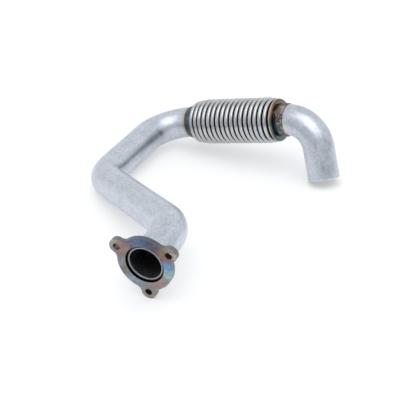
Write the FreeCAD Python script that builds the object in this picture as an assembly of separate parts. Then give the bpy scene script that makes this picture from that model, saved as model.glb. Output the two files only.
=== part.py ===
import FreeCAD, Part
import math
import os

# Air intake tube: a three-ear flange, a tube with three bends, a bellows
# between two weld collars, and an elbow with a plain open end.
# It lies on a table as it comes to rest. +Z is up, +X runs with the bellows,
# and the flange looks along -Y. Lengths are in mm and angles in degrees.

V = FreeCAD.Vector

# Tube
tube_od = 50.8
tube_wall = 1.6

# Bent tube, from the flange to the bellows
mouth_run = 63.0
mouth_bend_angle = 53.5
mouth_bend_radius = 57.0
long_run = 209.0
long_turn_angle = -175.0
long_bend_angle = 53.0
long_bend_radius = 57.0
rear_run = 120.0
rear_turn_angle = -1.0
rear_bend_angle = 95.5
rear_bend_radius = 57.0

# Elbow, from the bellows to the open end
elbow_turn_angle = 77.0
elbow_bend_angle = 86.0
elbow_bend_radius = 50.0
end_run = 50.0

# Flange
plate_thick = 9.5
plate_disc_radius = 40.6
plate_edge_round = 0.8
bolt_circle_radius = 44.45
bolt_count = 3
bolt_hole_radius = 5.15
ear_radius = 11.0
ear_neck_radius = 9.0
first_ear_angle = -47.0
socket_gap = 2.9
socket_depth = 4.4
socket_lip = 0.3
tube_end_recess = 2.8

# Bellows
flex_count = 18
flex_pitch = 8.95
flex_groove = 2.3
flex_height = 12.0
flex_sheet = 0.5
end_crest_drop = 2.6
next_crest_drop = 1.2
tube_stop_gap = 0.8

# Collars round the ends of the bellows
collar_thick = 1.1
inlet_collar_width = 10.0
outlet_collar_width = 10.5
slip_gap = 0.1

# Weld beads
bead_width = 3.4
flange_bead_width = 4.6
mouth_bead_width = 2.2
bead_crown = 0.5
weld_run_in = 0.5
elbow_run_in = 1.3

# Sizes that follow
tube_radius = tube_od / 2
bore_radius = tube_radius - tube_wall
socket_radius = tube_radius + socket_gap
seat_radius = tube_radius + slip_gap
skirt_radius = seat_radius + flex_sheet
collar_bore_radius = skirt_radius + slip_gap
collar_radius = collar_bore_radius + collar_thick
flex_crest_radius = tube_radius + flex_height
flex_length = flex_count * flex_pitch


# Bent centrelines
# A pose is a place, the way ahead, and the axle that the next bend turns on.

def straight(pose, length):
    at, ahead, axle = pose
    return ("straight", pose, length), (at + ahead * length, ahead, axle)


def bend(pose, radius, angle, turn=0.0):
    at, ahead, axle = pose
    axle = FreeCAD.Rotation(ahead, turn).multVec(axle)
    centre = at + axle.cross(ahead) * radius
    swing = FreeCAD.Rotation(axle, angle)
    end = (centre + swing.multVec(at - centre), swing.multVec(ahead), axle)
    return ("bend", (at, ahead, axle), (centre, angle)), end


def rod(stretches, radius):
    """Round bar along a centreline."""
    solids = []
    for kind, (at, ahead, axle), size in stretches:
        if kind == "straight":
            solids.append(Part.makeCylinder(radius, size, at, ahead))
        else:
            disc = Part.Face(Part.Wire(Part.makeCircle(radius, at, ahead)))
            solids.append(disc.revolve(size[0], axle, size[1]))
    first, *rest = solids
    return one_solid(first.fuse(rest)) if rest else first


def pipe(stretches):
    """Tube of the stock's wall along a centreline."""
    return one_solid(rod(stretches, tube_radius).cut(rod(stretches, bore_radius)))


def one_solid(shape):
    assert len(shape.Solids) == 1
    return shape.Solids[0]


# Rings turned about a centreline
# A profile's points are (radius, distance ahead of the pose).

def line(a, b):
    return Part.LineSegment(V(a[0], 0, a[1]), V(b[0], 0, b[1])).toShape()


def arc(a, mid, b):
    return Part.Arc(V(a[0], 0, a[1]), V(mid[0], 0, mid[1]), V(b[0], 0, b[1])).toShape()


def loop(points):
    return [line(a, b) for a, b in zip(points, points[1:] + points[:1])]


def turned(edges, pose):
    at, ahead, _ = pose
    profile = Part.Face(Part.Wire(Part.sortEdges(edges)[0]))
    ring = profile.revolve(V(0, 0, 0), V(0, 0, 1), 360)
    ring.Placement = FreeCAD.Placement(at, FreeCAD.Rotation(V(0, 0, 1), ahead))
    return ring


def bead(pose, toe, rise, wall):
    """Weld bead in the corner of a tube and a face that stands across it.

    toe is how far ahead the bead starts, wall where the face is, and rise the
    bead's height on that face.
    """
    low = (seat_radius, toe)
    high = (seat_radius + rise, wall)
    away = math.hypot(rise, wall - toe)
    out = bead_crown / away
    mid = (
        (low[0] + high[0]) / 2 + abs(wall - toe) * out,
        (low[1] + high[1]) / 2 + math.copysign(rise * out, toe - wall),
    )
    edges = [
        arc(low, mid, high),
        line(high, (seat_radius, wall)),
        line((seat_radius, wall), low),
    ]
    return turned(edges, pose)


# Flange
# Its front face is at the pose, and the tube leaves it ahead.

def around(angle, radius):
    return V(radius * math.cos(angle), radius * math.sin(angle), 0)


def ear_outline(ear):
    """Arcs of one ear and its two necks, and where the disc takes over."""
    near = plate_disc_radius + ear_neck_radius
    far = ear_radius + ear_neck_radius
    spread = (bolt_circle_radius**2 + near**2 - far**2) / (2 * bolt_circle_radius * near)
    swing = math.acos(spread)
    middle = around(ear, bolt_circle_radius)
    tip = around(ear, bolt_circle_radius + ear_radius)
    sides = []
    for side in (-1, 1):
        neck = around(ear + side * swing, near)
        on_disc = around(ear + side * swing, plate_disc_radius)
        on_ear = middle + (neck - middle) * (ear_radius / far)
        inner = (on_disc + on_ear) * 0.5 - neck
        mid = neck + inner * (ear_neck_radius / inner.Length)
        sides.append((on_disc, mid, on_ear))
    (disc_a, mid_a, ear_a), (disc_b, mid_b, ear_b) = sides
    arcs = [
        Part.Arc(disc_a, mid_a, ear_a).toShape(),
        Part.Arc(ear_a, tip, ear_b).toShape(),
        Part.Arc(ear_b, mid_b, disc_b).toShape(),
    ]
    return arcs, ear - swing, ear + swing


def make_flange(pose):
    ears = [2 * math.pi * i / bolt_count for i in range(bolt_count)]
    outline = []
    ends = []
    for ear in ears:
        arcs, start, stop = ear_outline(ear)
        outline += arcs
        ends.append((start, stop))
    for (_, stop), (start, _) in zip(ends, ends[1:] + ends[:1]):
        start += 2 * math.pi if start < stop else 0
        corners = [around(a, plate_disc_radius) for a in (stop, (stop + start) / 2, start)]
        outline.append(Part.Arc(*corners).toShape())
    face = Part.Face(Part.Wire(Part.sortEdges(outline)[0]))
    plate = face.extrude(V(0, 0, plate_thick))
    rims = [e for e in plate.Edges if abs(e.BoundBox.ZLength) < 1e-6]
    plate = plate.makeFillet(plate_edge_round, rims)
    plate = plate.cut(Part.makeCylinder(seat_radius, plate_thick))
    plate = plate.cut(Part.makeCylinder(socket_radius, socket_depth))
    lip = Part.makeCone(socket_radius + socket_lip, socket_radius, socket_lip)
    plate = plate.cut(lip)
    for ear in ears:
        hole = Part.makeCylinder(bolt_hole_radius, plate_thick, around(ear, bolt_circle_radius))
        plate = plate.cut(hole)
    at, ahead, axle = pose
    first = FreeCAD.Rotation(ahead, first_ear_angle).multVec(axle)
    turn = FreeCAD.Rotation(first, ahead.cross(first), ahead, "ZXY")
    plate = one_solid(plate)
    plate.Placement = FreeCAD.Placement(at, turn)
    return plate


# Bellows

def crest_radius(i):
    from_end = min(i, flex_count - 1 - i)
    drop = {0: end_crest_drop, 1: next_crest_drop}.get(from_end, 0.0)
    return flex_crest_radius - drop


def flex_side(inset, skirt_start, flex_start, skirt_end):
    """One side of the sheet: crests and roots with straight flanks between."""
    root_arc = flex_groove / 2 + inset
    crest_arc = flex_pitch / 2 - root_arc
    low = skirt_radius - inset
    root_centre = skirt_radius + flex_groove / 2
    corner = root_arc * math.sqrt(0.5)
    flex_end = flex_start + flex_length
    first = (root_centre, flex_start + root_arc)
    turn_in = (root_centre - corner, flex_start + corner)
    edges = [
        line((low, skirt_start), (low, flex_start)),
        arc((low, flex_start), turn_in, first),
    ]
    at = first
    for i in range(flex_count):
        middle = flex_start + (i + 0.5) * flex_pitch
        top = crest_radius(i) - inset
        left = (top - crest_arc, middle - crest_arc)
        right = (top - crest_arc, middle + crest_arc)
        foot = (root_centre, middle + crest_arc)
        edges += [line(at, left), arc(left, (top, middle), right), line(right, foot)]
        if i < flex_count - 1:
            at = (root_centre, foot[1] + 2 * root_arc)
            edges.append(arc(foot, (low, foot[1] + root_arc), at))
    turn_out = (root_centre - corner, flex_end - corner)
    edges += [
        arc(foot, turn_out, (low, flex_end)),
        line((low, flex_end), (low, skirt_end)),
    ]
    return edges


def make_bellows(pose, skirt_start, flex_start, skirt_end):
    outside = flex_side(0.0, skirt_start, flex_start, skirt_end)
    inside = flex_side(flex_sheet, skirt_start, flex_start, skirt_end)
    ends = [
        line((skirt_radius, z), (skirt_radius - flex_sheet, z))
        for z in (skirt_start, skirt_end)
    ]
    return turned(outside + inside + ends, pose)


def make_collar(pose, start, width):
    stop = start + width
    ring = loop([
        (collar_bore_radius, start),
        (collar_radius, start),
        (collar_radius, stop),
        (collar_bore_radius, stop),
    ])
    return turned(ring, pose)


# Lying on the table

def lowest(shape, up):
    """The spot of a shape that a table under it touches first."""
    reach = shape.BoundBox.DiagonalLength
    sheet = Part.makePlane(2 * reach, 2 * reach, V(-reach, -reach, 0))
    under = shape.BoundBox.Center - up * reach
    sheet.Placement = FreeCAD.Placement(under, FreeCAD.Rotation(V(0, 0, 1), up))
    return shape.distToShape(sheet)[1][0][0]


def table_up(flange, tube, elbow, high):
    """Upward direction of the table that flange, tube and elbow all touch."""
    feet = [s.CenterOfMass for s in (flange, tube, elbow)]
    for _ in range(12):
        up = (feet[1] - feet[0]).cross(feet[2] - feet[0])
        up = up * (1 / up.Length)
        if up.dot(high - feet[0]) < 0:
            up = up * -1
        feet = [lowest(s, up) for s in (flange, tube, elbow)]
    return up


# Putting it together

mouth = (V(0, 0, 0), V(0, 1, 0), V(0, 0, 1))
_, tube_start = straight(mouth, tube_end_recess)
run_1, pose = straight(tube_start, mouth_run - tube_end_recess)
bend_1, pose = bend(pose, mouth_bend_radius, mouth_bend_angle)
run_2, pose = straight(pose, long_run)
bend_2, pose = bend(pose, long_bend_radius, long_bend_angle, long_turn_angle)
run_3, pose = straight(pose, rear_run)
bend_3, flex_pose = bend(pose, rear_bend_radius, rear_bend_angle, rear_turn_angle)

skirt_start = weld_run_in + bead_width
flex_start = skirt_start + inlet_collar_width
flex_end = flex_start + flex_length
skirt_end = flex_end + outlet_collar_width
run_4, _ = straight(flex_pose, flex_start - tube_stop_gap)
inlet_path = [run_1, bend_1, run_2, bend_2, run_3, bend_3, run_4]

_, elbow_start = straight(flex_pose, flex_end + tube_stop_gap)
run_5, pose = straight(elbow_start, outlet_collar_width + elbow_run_in - tube_stop_gap)
bend_4, pose = bend(pose, elbow_bend_radius, elbow_bend_angle, elbow_turn_angle)
run_6, open_end = straight(pose, end_run)
outlet_path = [run_5, bend_4, run_6]

step = collar_radius - seat_radius
parts = {
    "flange": make_flange(mouth),
    "inlet_tube": pipe(inlet_path),
    "bellows": make_bellows(flex_pose, skirt_start, flex_start, skirt_end),
    "inlet_collar": make_collar(flex_pose, skirt_start, inlet_collar_width),
    "outlet_collar": make_collar(flex_pose, flex_end, outlet_collar_width),
    "outlet_elbow": pipe(outlet_path),
    "mouth_weld": bead(mouth, tube_end_recess, mouth_bead_width, socket_depth),
    "flange_weld": bead(mouth, plate_thick + flange_bead_width, flange_bead_width, plate_thick),
    "inlet_collar_weld": bead(flex_pose, weld_run_in, step, skirt_start),
    "outlet_collar_weld": bead(flex_pose, skirt_end + bead_width, step, skirt_end),
}

up = table_up(parts["flange"], parts["inlet_tube"], parts["outlet_elbow"], flex_pose[0])
along = flex_pose[1] - up * flex_pose[1].dot(up)
lay = FreeCAD.Placement(V(0, 0, 0), FreeCAD.Rotation(along, up.cross(along), up, "ZXY").inverted())
for shape in parts.values():
    shape.Placement = lay.multiply(shape.Placement)

whole = Part.makeCompound(list(parts.values())).optimalBoundingBox(False)
foot = V(whole.Center.x, whole.Center.y, whole.ZMin)
os.makedirs("parts", exist_ok=True)
for name, shape in parts.items():
    shape.translate(-foot)
    shape.exportStep(f"parts/{name}.step")
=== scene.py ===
import math

import bmesh
import bpy
from mathutils import Matrix, Vector


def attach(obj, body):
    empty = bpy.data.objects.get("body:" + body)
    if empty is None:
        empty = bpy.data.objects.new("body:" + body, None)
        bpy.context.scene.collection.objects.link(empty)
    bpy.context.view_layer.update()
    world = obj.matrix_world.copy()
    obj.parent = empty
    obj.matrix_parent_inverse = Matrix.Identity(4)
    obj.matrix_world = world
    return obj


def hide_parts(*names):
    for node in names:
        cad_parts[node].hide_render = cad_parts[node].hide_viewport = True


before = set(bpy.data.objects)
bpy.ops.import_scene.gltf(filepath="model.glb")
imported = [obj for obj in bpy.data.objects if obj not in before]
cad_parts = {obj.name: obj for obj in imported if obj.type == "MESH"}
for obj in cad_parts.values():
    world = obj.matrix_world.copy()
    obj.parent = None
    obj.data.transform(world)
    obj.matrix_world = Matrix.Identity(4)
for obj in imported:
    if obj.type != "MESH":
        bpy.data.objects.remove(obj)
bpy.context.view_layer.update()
scene = bpy.context.scene


# Camera. It stands in front of the flange, to its right, and looks down at
# the tube as it lies on the table.
eye = bpy.data.objects.new("camera", bpy.data.cameras.new("camera"))
scene.collection.objects.link(eye)
eye.location = (0.80222, -1.22640, 0.80264)
eye.rotation_euler = [math.radians(a) for a in (61.773, 1.190, 31.268)]
eye.data.sensor_width = 36.0
eye.data.lens = 97.57
eye.data.clip_start = 0.05
eye.data.clip_end = 50.0
scene.camera = eye
scene.view_settings.view_transform = "Standard"


# Table and light. A plain pale table in a bright tent, with one brighter panel
# overhead and a dimmer room on the side that the camera stands on.
def node_maker(tree):
    """A maker of the tree's nodes, with inputs set or wired by name or number."""

    def make(kind, inputs=None, **settings):
        made = tree.nodes.new("ShaderNode" + kind)
        for key, value in settings.items():
            setattr(made, key, value)
        for key, value in (inputs or {}).items():
            if isinstance(value, bpy.types.NodeSocket):
                tree.links.new(value, made.inputs[key])
            else:
                made.inputs[key].default_value = value
        return made

    return make


def new_material(name):
    material = bpy.data.materials.new(name)
    material.use_nodes = True
    material.node_tree.nodes.clear()
    return material, node_maker(material.node_tree)


def maths(add, operation, a, b):
    return add("Math", {0: a, 1: b}, operation=operation).outputs[0]


def dot(add, a, b):
    return add("VectorMath", {0: a, 1: b}, operation="DOT_PRODUCT").outputs["Value"]


def spread(add, value, low, high, to_low, to_high):
    """Maps a value's range on another, with soft ends."""
    node = add(
        "MapRange",
        {"Value": value, "From Min": low, "From Max": high, "To Min": to_low, "To Max": to_high},
        interpolation_type="SMOOTHSTEP",
    )
    return node.outputs["Result"]


table_mesh = bmesh.new()
bmesh.ops.create_grid(table_mesh, x_segments=1, y_segments=1, size=6.0)
table = bpy.data.objects.new("table", bpy.data.meshes.new("table"))
table_mesh.to_mesh(table.data)
table_mesh.free()
scene.collection.objects.link(table)

paper, add = new_material("table_paper")
path = add("LightPath")
seen = maths(add, "MAXIMUM", path.outputs["Is Camera Ray"], path.outputs["Is Glossy Ray"])
seen = maths(add, "MAXIMUM", seen, path.outputs["Is Transmission Ray"])
glow = maths(add, "MULTIPLY", seen, 0.42)
matt = add("BsdfDiffuse", {"Color": (0.60, 0.60, 0.60, 1)})
shine = add("Emission", {"Color": (1, 1, 1, 1), "Strength": glow})
both = add("AddShader", {0: matt.outputs[0], 1: shine.outputs[0]})
add("OutputMaterial", {"Surface": both.outputs[0]})
table.data.materials.append(paper)

room = bpy.data.worlds.new("room")
scene.world = room
room.use_nodes = True
room.node_tree.nodes.clear()
add = node_maker(room.node_tree)
way = add("TexCoord").outputs["Generated"]
bright_side = Vector((-0.42, 0.30, 0.86)).normalized()
tent = spread(add, dot(add, way, bright_side), -0.20, 0.42, 0.64, 0.94)
to_panel = Vector((0.227, -0.316, 0.921)).normalized()
panel = spread(add, dot(add, way, to_panel), 0.80, 0.95, 0.0, 1.10)
light = {"Color": (0.97, 0.985, 1, 1), "Strength": maths(add, "ADD", tent, panel)}
add("OutputWorld", {"Surface": add("Background", light).outputs[0]})


# Bent tube. One length of 50.8 mm aluminised steel tube with three mandrel
# bends, cut square at both ends. It runs from the flange to the bellows.
corners = [
    Vector((0.09575, -0.23408, 0.05502)),
    Vector((0.08525, -0.14347, 0.06467)),
    Vector((-0.13839, -0.00487, 0.02456)),
    Vector((-0.16093, 0.20497, 0.03204)),
    Vector((0.12745, 0.20497, 0.09954)),
    Vector((0.15568, 0.18887, 0.00854)),
]
bend_radii = [0.057, 0.057, 0.057, 0.050]
tube_radius = 0.0254
bore_radius = 0.0238
tube_recess = 0.0028
tube_slip_in = 0.0131


def centreline(corners, radii):
    """Runs and arcs through the corners: from, length, place, ahead, side, centre, axle."""
    stretches = []
    at, done = corners[0], 0.0
    side = (corners[1] - at).cross(Vector((0, 0, 1))).normalized()
    for before, corner, after, radius in zip(corners, corners[1:], corners[2:], radii):
        ahead = (corner - before).normalized()
        leaving = (after - corner).normalized()
        swing = ahead.angle(leaving)
        start = corner - ahead * radius * math.tan(swing / 2)
        run = (start - at).length
        stretches.append((done, run, at, ahead, side, None, None))
        axle = ahead.cross(leaving).normalized()
        centre = start + axle.cross(ahead) * radius
        stretches.append((done + run, radius * swing, start, ahead, side, centre, axle))
        side = Matrix.Rotation(swing, 3, axle) @ side
        done += run + radius * swing
        at = corner + leaving * radius * math.tan(swing / 2)
    ahead = (corners[-1] - at).normalized()
    stretches.append((done, (corners[-1] - at).length, at, ahead, side, None, None))
    return stretches


stretches = centreline(corners, bend_radii)
flex_zero = stretches[6][0]


def on_line(s):
    """Place, way ahead and sideways axis at a distance along the centreline, and its bend."""
    stretch = [t for t in stretches if s >= t[0] or t[0] == 0][-1]
    start, length, at, ahead, side, centre, axle = stretch
    if axle is None:
        return at + ahead * (s - start), ahead, side, stretch
    turn = Matrix.Rotation((s - start) / (at - centre).length, 3, axle)
    return centre + turn @ (at - centre), turn @ ahead, turn @ side, stretch


def spun(outline, around):
    """A closed ring from a closed outline of (radius, distance), spun about Z."""
    bm = bmesh.new()
    verts = [bm.verts.new((radius, 0, s)) for radius, s in outline]
    edges = [bm.edges.new(pair) for pair in zip(verts, verts[1:] + verts[:1])]
    bmesh.ops.spin(
        bm, geom=verts + edges, cent=(0, 0, 0), axis=(0, 0, 1), angle=math.tau,
        steps=around, use_merge=True, use_duplicate=False,
    )
    bmesh.ops.remove_doubles(bm, verts=bm.verts, dist=1e-6)
    return bm


def laid_piece(name, bm, material, stands_for, bent=False):
    """Lays a ring made about Z on the centreline.

    It keeps its straight shape as the attribute that its finish follows. In
    its bends a bent tube is a little flat outside and rippled inside.
    """
    straight = bm.verts.layers.float_vector.new("straight")
    flat, ripple, ripple_pitch = 0.012, 0.0022, 0.0105
    for vert in bm.verts:
        x, y, s = vert.co
        vert[straight] = vert.co
        place, ahead, side, (start, length, _, _, _, centre, axle) = on_line(s)
        out = side * x + ahead.cross(side) * y
        if bent and axle is not None:
            into = out.normalized().dot((centre - place).normalized())
            share = math.sin(math.pi * (s - start) / length)
            wave = math.sin(math.tau * (s - start) / ripple_pitch)
            out *= 1 + share * (ripple * wave * max(into, 0) ** 3 - flat * max(-into, 0) ** 2)
        vert.co = place + out
    bmesh.ops.recalc_face_normals(bm, faces=bm.faces)
    if bm.calc_volume(signed=True) < 0:
        bmesh.ops.reverse_faces(bm, faces=bm.faces)
    mesh = bpy.data.meshes.new(name)
    bm.to_mesh(mesh)
    bm.free()
    mesh.polygons.foreach_set("use_smooth", [True] * len(mesh.polygons))
    mesh.materials.append(material)
    piece = bpy.data.objects.new(name, mesh)
    scene.collection.objects.link(piece)
    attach(piece, "root")
    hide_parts(stands_for)


def tube_outline(first, last):
    """Outline of a tube's wall between two distances, with the cut edges eased."""
    ease, step = 0.0003, 0.003
    count = round((last - first) / step)
    along = [first + ease + (last - first - 2 * ease) * i / count for i in range(count + 1)]
    outside = [(tube_radius, s) for s in along]
    inside = [(bore_radius, s) for s in reversed(along)]
    start_cut = [(bore_radius + ease, first), (tube_radius - ease, first)]
    end_cut = [(tube_radius - ease, last), (bore_radius + ease, last)]
    return start_cut + outside + end_cut + inside


def noise(add, vector, scale, detail, roughness=0.5):
    inputs = {"Vector": vector, "Scale": scale, "Detail": detail, "Roughness": roughness}
    return add("TexNoise", inputs).outputs["Fac"]


def part_of(add, vector, axis):
    return add("SeparateXYZ", {"Vector": vector}).outputs[axis]


def off_axis(add, vector):
    """Distance of a straight shape's point from its axis."""
    flat = add("VectorMath", {0: vector, 1: (1, 1, 0)}, operation="MULTIPLY")
    return add("VectorMath", {0: flat.outputs[0]}, operation="LENGTH").outputs["Value"]


def ramp(add, value, stops):
    """Colour ramp from (position, colour) stops, where a colour may be one grey level."""
    node = add("ValToRGB", {"Fac": value})
    elements = node.color_ramp.elements
    for i, (position, colour) in enumerate(stops):
        colour = colour if isinstance(colour, tuple) else (colour,) * 3
        stop = elements[i] if i < 2 else elements.new(position)
        stop.position = position
        stop.color = colour + (1,) * (4 - len(colour))
    return node.outputs


def mixed(add, factor, a, b):
    return add("Mix", {0: factor, 6: a, 7: b}, data_type="RGBA").outputs[2]


def times(add, a, b):
    return add("Mix", {0: 1.0, 6: a, 7: b}, data_type="RGBA", blend_type="MULTIPLY").outputs[2]


def metal(add, tone, dull, height, strength, distance):
    """Ends a material as bare metal with a colour, a roughness and a bump."""
    bump = add("Bump", {"Height": height, "Strength": strength, "Distance": distance})
    inputs = {"Base Color": tone, "Metallic": 1.0, "Roughness": dull, "Normal": bump.outputs[0]}
    add("OutputMaterial", {"Surface": add("BsdfPrincipled", inputs).outputs[0]})


def aluminised(name, weld_at, tint_reach, bands, weld_hue):
    """Satin aluminised tube: cool mottled grey, drawn streaks, and heat tint by its weld.

    weld_at is the weld's distance along the centreline, tint_reach how far
    the tint goes from it, and bands its colours from the weld outwards.
    weld_hue is how much they turn from orange below to blue above.
    """
    material, add = new_material(name)
    at = add("Attribute", attribute_name="straight").outputs["Vector"]
    cloud = noise(add, at, 38.0, 6.0, 0.66)
    greys = [(0.30, (0.49, 0.545, 0.61)), (0.5, (0.59, 0.635, 0.70)), (0.72, (0.69, 0.71, 0.79))]
    fleck = ramp(add, noise(add, at, 260.0, 3.0, 0.7), [(0.3, 0.80), (0.72, 1.12)])[0]
    tone = times(add, ramp(add, cloud, greys)[0], fleck)
    drawn = add("Mapping", {"Vector": at, "Scale": (380.0, 380.0, 12.0)}).outputs[0]
    streak = noise(add, drawn, 1.0, 3.0)
    tone = times(add, tone, ramp(add, streak, [(0.3, 0.94), (0.7, 1.04)])[0])

    shift = spread(add, noise(add, at, 160.0, 3.0), 0.2, 0.8, -0.0007, 0.0007)
    along = maths(add, "ADD", part_of(add, at, "Z"), shift)
    reach = {"Value": along, "From Min": weld_at, "From Max": weld_at + tint_reach}
    tint = ramp(add, add("MapRange", reach).outputs["Result"], bands)
    place = add("TexCoord").outputs["Object"]
    uneven = spread(add, noise(add, place, 90.0, 2.0), 0.25, 0.75, -0.006, 0.006)
    height = maths(add, "ADD", part_of(add, place, "Z"), uneven)
    height = add("MapRange", {"Value": height, "From Min": 0.068, "From Max": 0.120})
    hues = [
        (0.0, (1.0, 0.72, 0.50)), (0.2, 1.0), (0.5, 1.0),
        (0.64, (0.66, 0.84, 1.3)), (0.8, (0.85, 0.80, 0.95)),
    ]
    hue = mixed(add, weld_hue, (1, 1, 1, 1), ramp(add, height.outputs["Result"], hues)[0])
    tone = mixed(add, tint["Alpha"], tone, times(add, tint["Color"], hue))

    # Painted shade: the bore, and the cut end where it sits back in the flange's socket, are
    # coloured a darker grey.
    inside = spread(add, off_axis(add, at), 0.0250, 0.0253, 1.0, 0.0)
    inside = maths(add, "MAXIMUM", inside, spread(add, along, 0.0030, 0.0034, 1.0, 0.0))
    tone = mixed(add, inside, tone, (0.40, 0.41, 0.43, 1))
    dull = spread(add, cloud, 0.3, 0.7, 0.27, 0.40)
    grain = maths(add, "ADD", streak, noise(add, at, 1500.0, 2.0))
    metal(add, tone, dull, grain, 0.12, 0.0002)
    return material


teal_and_beige = [
    (0.0, (0.10, 0.12, 0.13)), (0.20, (0.13, 0.15, 0.16)), (0.27, (0.50, 0.46, 0.42)),
    (0.80, (0.56, 0.50, 0.46, 0.9)), (0.90, (0.64, 0.66, 0.72, 0.4)), (1.0, (0.6, 0.6, 0.62, 0)),
]
laid_piece(
    "bent_tube",
    spun(tube_outline(tube_recess, flex_zero + tube_slip_in), 96),
    aluminised("aluminised_tube", flex_zero + 0.0015, -0.0125, teal_and_beige, 0.0),
    "inlet_tube", bent=True,
)


# Flange. A plate with three ears, cut from 9.5 mm steel. The weld in its
# mouth has left bands of straw, purple and blue across its face.
mouth = stretches[0][2]
inward = stretches[0][3]
up = (Vector((0, 0, 1)) - inward * inward.z).normalized()
right = inward.cross(up)
bolt_circle = 0.04445
first_hole = math.radians(-62.0)
hole_count = 3
round_tints = [
    (-180, (0.30, 0.30, 0.30)), (-165, (0.26, 0.31, 0.36)), (-138, (0.27, 0.35, 0.42)),
    (-114, (0.24, 0.21, 0.21)), (-94, (0.31, 0.31, 0.36)), (-72, (0.24, 0.21, 0.20)),
    (-46, (0.34, 0.22, 0.19)), (-34, (0.17, 0.15, 0.22)), (-12, (0.13, 0.18, 0.29)),
    (10, (0.10, 0.14, 0.22)), (28, (0.11, 0.10, 0.15)), (44, (0.25, 0.18, 0.14)),
    (66, (0.26, 0.13, 0.15)), (79, (0.17, 0.27, 0.43)), (90, (0.22, 0.42, 0.58)),
    (104, (0.40, 0.50, 0.46)), (126, (0.33, 0.31, 0.31)), (150, (0.38, 0.26, 0.26)),
    (168, (0.28, 0.28, 0.29)),
]
ear_greys = [(0.3, (0.27, 0.245, 0.21)), (0.7, (0.44, 0.41, 0.37))]

plate_steel, add = new_material("heat_tinted_plate")
where = add("TexCoord").outputs["Object"]
place = add("VectorMath", {0: where, 1: mouth}, operation="SUBTRACT").outputs[0]
rise = dot(add, place, up)
across = dot(add, place, right)
depth = dot(add, place, inward)
face = add("CombineXYZ", {"X": across, "Y": rise}).outputs[0]
from_middle = add("VectorMath", {0: face}, operation="LENGTH").outputs["Value"]
waver = noise(add, place, 70.0, 4.0, 0.6)
angle = maths(add, "ARCTAN2", across, rise)
angle = maths(add, "ADD", angle, spread(add, waver, 0.25, 0.75, -0.16, 0.16))
turn = add("MapRange", {"Value": angle, "From Min": -math.pi, "From Max": math.pi})
tint = ramp(add, turn.outputs["Result"], [((a + 180) / 360, c) for a, c in round_tints])[0]
tip = spread(add, from_middle, 0.0405, 0.0500, 0.0, 0.9)
tone = mixed(add, tip, tint, ramp(add, waver, ear_greys)[0])
mottle = noise(add, place, 210.0, 5.0, 0.7)
tone = times(add, tone, ramp(add, mottle, [(0.32, 0.62), (0.68, 1.18)])[0])
rim = spread(add, depth, 0.0006, 0.0016, 0.0, 0.55)
tone = mixed(add, rim, tone, (0.15, 0.16, 0.18, 1))
# Painted shade: the socket's wall and floor behind the front face are coloured near black.
painted_socket_shade = spread(add, from_middle, 0.0284, 0.0287, 1.0, 0.0)
painted_socket_shade = maths(add, "MULTIPLY", painted_socket_shade, spread(add, depth, 0.0001, 0.0005, 0.0, 1.0))
tone = mixed(add, painted_socket_shade, tone, (0.014, 0.013, 0.012, 1))
# Painted shade: the walls of the bolt holes below the front face are coloured a near-black brown
# and made rougher.
painted_hole_shade = 0.0
for hole in range(hole_count):
    turned = first_hole + hole * math.tau / hole_count
    middle = (bolt_circle * math.sin(turned), bolt_circle * math.cos(turned), 0.0)
    away = add("VectorMath", {0: face, 1: middle}, operation="DISTANCE").outputs["Value"]
    painted_hole_shade = maths(add, "MAXIMUM", painted_hole_shade, spread(add, away, 0.0052, 0.0056, 1.0, 0.0))
painted_hole_shade = maths(add, "MULTIPLY", painted_hole_shade, spread(add, depth, 0.0003, 0.0009, 0.0, 1.0))
tone = mixed(add, painted_hole_shade, tone, (0.055, 0.038, 0.026, 1))
dull = spread(add, mottle, 0.3, 0.7, 0.30, 0.46)
dull = maths(add, "ADD", dull, maths(add, "MULTIPLY", painted_hole_shade, 0.5))
metal(add, tone, dull, mottle, 0.18, 0.0003)
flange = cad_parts["flange"]
flange.data.materials.clear()
flange.data.materials.append(plate_steel)


# Weld beads. Laid by hand round each joint in one pass, so that every stop of
# the torch left a ripple, and scale darkens their toes.
bead_seat = 0.0255
collar_out = 0.0273
collar_leg = 0.0034
plate_back = 0.0095
socket_floor = 0.0044
inlet_face = flex_zero + 0.0039
outlet_face = flex_zero + 0.1855


def weld_bead(low, high, corner):
    """A rippled bead between a toe on the tube and a toe on the face, as (radius, distance)."""
    steps, around, crown, ripples, ripple = 8, 540, 0.0005, 76, 0.00016
    reach = math.dist(low, high)
    out = ((high[1] - low[1]) / reach, (low[0] - high[0]) / reach)
    if (corner[0] - low[0]) * out[0] + (corner[1] - low[1]) * out[1] > 0:
        out = (-out[0], -out[1])
    outline = [corner]
    for i in range(steps + 1):
        t = i / steps
        swell = crown * 4 * t * (1 - t)
        outline.append([a + (b - a) * t + o * swell for a, b, o in zip(low, high, out)])
    bm = spun(outline, around)
    middle = ((low[0] + high[0]) / 2, (low[1] + high[1]) / 2)
    for vert in bm.verts:
        radius, angle = math.hypot(vert.co.x, vert.co.y), math.atan2(vert.co.y, vert.co.x)
        across = math.dist((radius, vert.co.z), middle) / (reach / 2)
        lag = 1.6 * across * across + 0.8 * math.sin(5 * angle)
        wave = math.sin(ripples * angle + lag) + 0.35 * math.sin(23 * angle)
        grown = max(0.0, 1 - across * across) * ripple * wave
        radius += out[0] * grown
        vert.co.x = radius * math.cos(angle)
        vert.co.y = radius * math.sin(angle)
        vert.co.z += out[1] * grown
    return bm


def weld_metal(name, dark, light):
    material, add = new_material(name)
    at = add("Attribute", attribute_name="straight").outputs["Vector"]
    cloud = noise(add, at, 140.0, 5.0, 0.65)
    tone = ramp(add, cloud, [(0.34, dark), (0.66, light)])[0]
    metal(add, tone, spread(add, cloud, 0.3, 0.7, 0.28, 0.46), cloud, 0.2, 0.0003)
    return material


# The bead in the socket is near black: weld scale, and painted shade of the recess it sits in.
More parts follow.
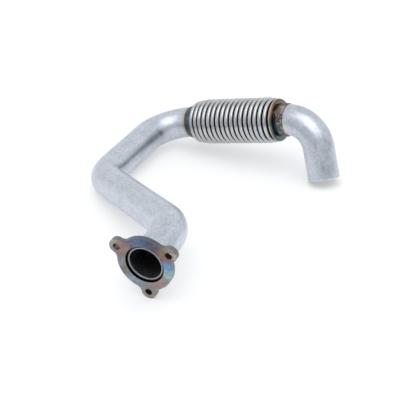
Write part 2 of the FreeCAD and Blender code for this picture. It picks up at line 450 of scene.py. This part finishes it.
mouth_scale_and_shade = weld_metal("socket_scale_and_shade", (0.03, 0.03, 0.033), (0.14, 0.135, 0.13))
back_scale = weld_metal("back_scale", (0.10, 0.10, 0.12), (0.32, 0.32, 0.34))
inlet_scale = weld_metal("inlet_scale", (0.045, 0.055, 0.06), (0.17, 0.17, 0.17))
outlet_scale = weld_metal("outlet_scale", (0.04, 0.04, 0.045), (0.40, 0.39, 0.38))
for name, tube_toe, face_toe, scale, stands_for in (
    ("mouth_bead", tube_recess, (0.0277, socket_floor), mouth_scale_and_shade, "mouth_weld"),
    ("back_bead", 0.0141, (0.0301, plate_back), back_scale, "flange_weld"),
    (
        "inlet_bead", inlet_face - collar_leg, (collar_out, inlet_face),
        inlet_scale, "inlet_collar_weld",
    ),
    (
        "outlet_bead", outlet_face + collar_leg, (collar_out, outlet_face),
        outlet_scale, "outlet_collar_weld",
    ),
):
    bead = weld_bead((bead_seat, tube_toe), face_toe, (bead_seat, face_toe[1]))
    laid_piece(name, bead, scale, stands_for)


# Bellows. One thin stainless sheet rolled to a tube and formed into 18
# rings, with a plain skirt at each end that the tubes slip into.
flex_rings = 18
flex_pitch = 0.00895
flex_groove = 0.0023
flex_crest = 0.0374
flex_root = 0.0260
flex_sheet = 0.0005
inlet_skirt = 0.0100
flex_start = inlet_face + inlet_skirt
flex_end = flex_start + flex_rings * flex_pitch
end_drops = {0: 0.0026, 1: 0.0012}


def arc(steps, first, last):
    return [first + (last - first) * i / steps for i in range(steps + 1)]


def flex_side(inset):
    """One side of the sheet, from skirt to skirt."""
    root = flex_groove / 2 + inset
    crest = flex_pitch / 2 - root
    groove = flex_root + flex_groove / 2
    points = [(flex_root - inset, inlet_face)]
    for a in arc(4, 0, math.pi / 2):
        points.append((groove - root * math.cos(a), flex_start + root * math.sin(a)))
    for ring in range(flex_rings):
        middle = flex_start + (ring + 0.5) * flex_pitch
        foot = middle + flex_pitch / 2
        uneven = 0.00012 * math.sin(2.4 * ring + 0.7)
        drop = end_drops.get(min(ring, flex_rings - 1 - ring), 0.0)
        top = flex_crest - drop - inset + uneven - crest
        for a in arc(10, 0, math.pi):
            points.append((top + crest * math.sin(a), middle - crest * math.cos(a)))
        for a in arc(6, 0, math.pi) if ring < flex_rings - 1 else ():
            points.append((groove - root * math.sin(a), foot - root * math.cos(a)))
    for a in arc(4, math.pi / 2, 0):
        points.append((groove - root * math.cos(a), flex_end - root * math.sin(a)))
    points.append((flex_root - inset, outlet_face))
    return points


def tint_by_height(add, top, low):
    """Mixes two colours by height over the bellows' axis, for heat that rose from a weld."""
    place = add("TexCoord").outputs["Object"]
    uneven = spread(add, noise(add, place, 60.0, 4.0), 0.2, 0.8, -0.012, 0.012)
    height = maths(add, "ADD", part_of(add, place, "Z"), uneven)
    return mixed(add, spread(add, height, 0.096, 0.106, 0.0, 1.0), low, top)


stainless, add = new_material("bellows_stainless")
at = add("Attribute", attribute_name="straight").outputs["Vector"]
along = part_of(add, at, "Z")
cloud = noise(add, at, 60.0, 4.0)
tone = ramp(add, cloud, [(0.3, (0.45, 0.46, 0.475)), (0.7, (0.58, 0.585, 0.59))])[0]
# Painted shade: the sheet's colour darkens towards the roots of the grooves, where the rings
# shade each other.
painted_groove_shade = spread(add, off_axis(add, at), 0.0262, 0.0362, 0.03, 1.0)
tone = times(add, tone, add("CombineXYZ", {"X": painted_groove_shade, "Y": painted_groove_shade, "Z": painted_groove_shade}).outputs[0])
bronze = ramp(add, cloud, [(0.35, (0.40, 0.32, 0.24)), (0.65, (0.62, 0.54, 0.44))])[0]
burnt = tint_by_height(add, (0.17, 0.125, 0.10, 1), (0.10, 0.125, 0.125, 1))
for edge, from_rings, to_rings, least, most, colour in (
    (flex_end, -1.02, -0.72, 0.0, 0.92, bronze),
    (flex_end, -0.50, -0.30, 0.0, 1.0, burnt),
    (flex_start, 0.1, 0.9, 0.45, 0.0, (0.50, 0.47, 0.36, 1)),
):
    first, last = edge + from_rings * flex_pitch, edge + to_rings * flex_pitch
    tone = mixed(add, spread(add, along, first, last, least, most), tone, colour)
rolled = add("Mapping", {"Vector": at, "Scale": (25.0, 25.0, 5200.0)}).outputs[0]
rolled = noise(add, rolled, 1.0, 2.0)
metal(add, tone, spread(add, rolled, 0.3, 0.7, 0.10, 0.22), rolled, 0.07, 0.0001)
laid_piece(
    "flex_bellows", spun(flex_side(0.0) + flex_side(flex_sheet)[::-1], 112),
    stainless, "bellows",
)


# Collars. Steel rings pressed over the skirts of the bellows. The weld's heat
# has turned the inlet one blue-grey, and the outlet one brown over dark teal.
def collar(first, last):
    inner, edge = 0.0261, 0.0003
    outline = [(inner, first), (collar_out - edge, first), (collar_out, first + edge)]
    outline += [(collar_out, last - edge), (collar_out - edge, last), (inner, last)]
    return spun(outline, 96)


def collar_steel(name, glint_gain, top, low):
    material, add = new_material(name)
    at = add("Attribute", attribute_name="straight").outputs["Vector"]
    cloud = noise(add, at, 120.0, 6.0, 0.65)
    # Dark scale spots where the noise is low; painted glints, brightened several times over,
    # where it is high.
    scale_and_painted_glints = ramp(add, cloud, [(0.32, 0.45), (0.56, 1.0), (0.66, glint_gain)])[0]
    tone = times(add, tint_by_height(add, top, low), scale_and_painted_glints)
    metal(add, tone, spread(add, cloud, 0.3, 0.7, 0.30, 0.48), cloud, 0.25, 0.0004)
    return material


# Painted glints: the third number sets how bright they are, mild on the inlet collar and strong
# on the outlet one.
blue_grey = collar_steel("blue_grey_scale", 1.4, (0.115, 0.145, 0.165, 1), (0.10, 0.13, 0.15, 1))
brown_teal = collar_steel("brown_teal_scale", 3.4, (0.17, 0.13, 0.105, 1), (0.12, 0.15, 0.16, 1))
laid_piece(
    "inlet_ring", collar(inlet_face, flex_start), blue_grey, "inlet_collar",
)
laid_piece(
    "outlet_ring", collar(flex_end, outlet_face), brown_teal,
    "outlet_collar",
)


# Elbow. A short length of the same tube with one bend, cut square at its
# open end. It slips into the outlet skirt of the bellows.
stop_gap = 0.0008
last_run = 0.0500
cream_and_lavender = [
    (0.0, (0.04, 0.04, 0.04)), (0.07, (0.42, 0.34, 0.26)), (0.28, (0.68, 0.62, 0.54)),
    (0.55, (0.64, 0.61, 0.60, 0.85)), (1.0, (0.6, 0.6, 0.66, 0)),
]
laid_piece(
    "elbow_tube",
    spun(tube_outline(flex_end + stop_gap, stretches[8][0] + last_run), 96),
    aluminised("aluminised_elbow", outlet_face + 0.0027, 0.0100, cream_and_lavender, 0.9),
    "outlet_elbow", bent=True,
)
